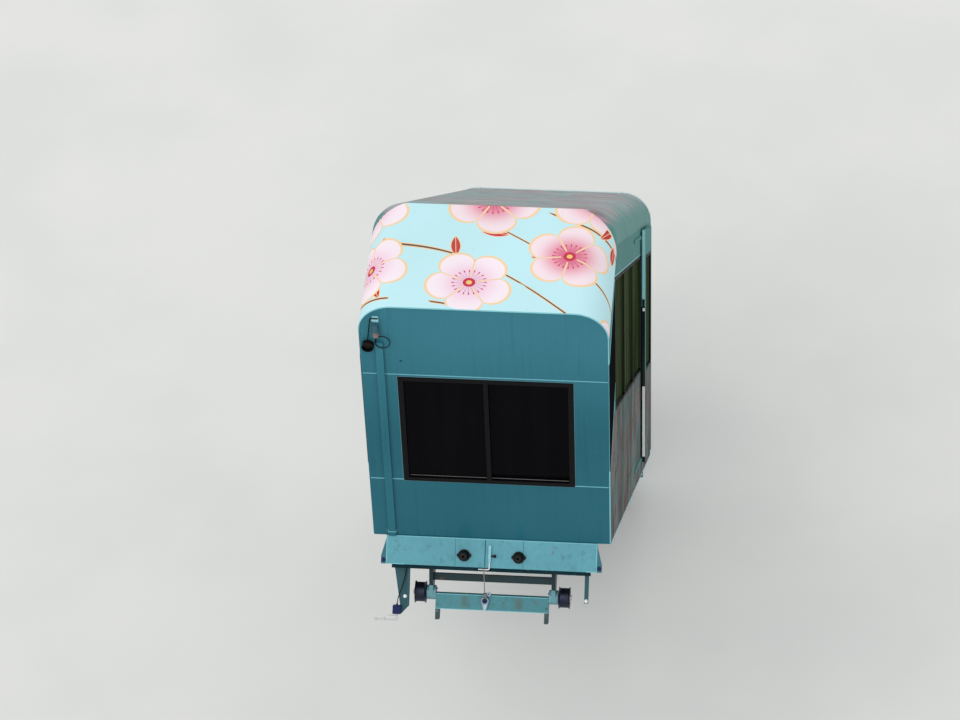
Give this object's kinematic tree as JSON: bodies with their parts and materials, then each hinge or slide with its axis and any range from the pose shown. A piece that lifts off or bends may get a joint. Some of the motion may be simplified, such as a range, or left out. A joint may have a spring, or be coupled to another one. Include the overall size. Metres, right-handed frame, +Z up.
{
  "type": "funicular car",
  "caption": "Small funicular car with a stepped, slant-ended cabin, a sliding side door, flanged rail wheels, rope sockets and an open welded underframe.",
  "frame": {"origin": "on the plane of the rail tops, on the centre line, midway between the uphill and downhill axles", "axes": "+Z straight up, +Y downhill over the ground, +X to the right when looking downhill; the rails fall at 42 degrees towards +Y"},
  "size_m": [1.846, 6.0586, 7.8841],
  "materials": {
    "black_trim": "black, satin",
    "bright_steel": "satin stainless steel",
    "cable_black": "black cable sheath",
    "floor_plate": "grey floor paint",
    "frame_paint": "light teal machine paint, rust at the seams",
    "roof_paint": "pale printed film over sheet steel",
    "seat_cover": "grey vinyl",
    "shell_paint": "semi-gloss teal paint over sheet steel",
    "switch_blue": "blue housing",
    "tinted_glass": "dark tinted",
    "wheel_steel": "worn wheel steel"
  },
  "bodies": {
    "car": {"aisle_steps": "floor_plate", "aprons": "frame_paint", "axle_beams": "frame_paint", "axle_braces": "frame_paint", "bearing_blocks": "frame_paint", "bench_backs": "seat_cover", "bench_cushions": "seat_cover", "bench_plinths": "floor_plate", "brake_link": "bright_steel", "cable_duct": "shell_paint", "cantrails_level": "roof_paint", "cantrails_slope": "roof_paint", "cross_tubes": "frame_paint", "door_rails": "bright_steel", "downhill_wall_lower": "shell_paint", "downhill_wall_upper": "shell_paint", "end_wall_posts": "shell_paint", "end_window_frames": "black_trim", "end_window_panes": "tinted_glass", "floor_pan": "floor_plate", "floor_risers": "floor_plate", "floor_treads": "floor_plate", "guard_plates": "frame_paint", "headstocks": "frame_paint", "horn": "black_trim", "horn_bracket": "bright_steel", "horn_cable": "cable_black", "left_wall_lower": "shell_paint", "left_wall_upper": "shell_paint", "lever_knob": "black_trim", "limit_switch": "switch_blue", "link_anchor": "frame_paint", "main_beams": "frame_paint", "rail_claws": "frame_paint", "right_wall_lower": "shell_paint", "right_wall_upper": "shell_paint", "roof_level": "roof_paint", "roof_slope": "roof_paint", "rope_sockets": "black_trim", "side_sills": "shell_paint", "side_wall_posts": "shell_paint", "side_window_frames": "black_trim", "side_window_panes": "tinted_glass", "siren": "bright_steel", "slack_lever": "bright_steel", "switch_arm": "bright_steel", "switch_cable": "cable_black", "uphill_wall_lower": "shell_paint", "uphill_wall_upper": "shell_paint"},
    "door": {"door_leaf": "shell_paint", "door_window_frame": "black_trim", "door_pane": "tinted_glass", "door_edge_strip": "bright_steel", "door_shoes": "bright_steel"},
    "wheel_uphill_left": {"wheel_uphill_left": "wheel_steel"},
    "wheel_uphill_right": {"wheel_uphill_right": "wheel_steel"},
    "wheel_downhill_left": {"wheel_downhill_left": "wheel_steel"},
    "wheel_downhill_right": {"wheel_downhill_right": "wheel_steel"}
  },
  "joints": [
    {"name": "uphill_left_turn", "type": "hinge", "parent": "car", "child": "wheel_uphill_left", "pos_m": [-0.55, -2.58903, 2.43209], "axis": [1, 0, 0], "continuous": true},
    {"name": "uphill_right_turn", "type": "hinge", "parent": "car", "child": "wheel_uphill_right", "pos_m": [0.55, -2.58903, 2.43209], "axis": [1, 0, 0], "continuous": true},
    {"name": "downhill_left_turn", "type": "hinge", "parent": "car", "child": "wheel_downhill_left", "pos_m": [-0.55, 2.6894, -2.32062], "axis": [1, 0, 0], "continuous": true},
    {"name": "downhill_right_turn", "type": "hinge", "parent": "car", "child": "wheel_downhill_right", "pos_m": [0.55, 2.6894, -2.32062], "axis": [1, 0, 0], "continuous": true},
    {"name": "door_slide", "type": "slide", "parent": "car", "child": "door", "axis": [0, -0.7431, 0.6691], "range_m": [0, 1.26]}
  ]
}
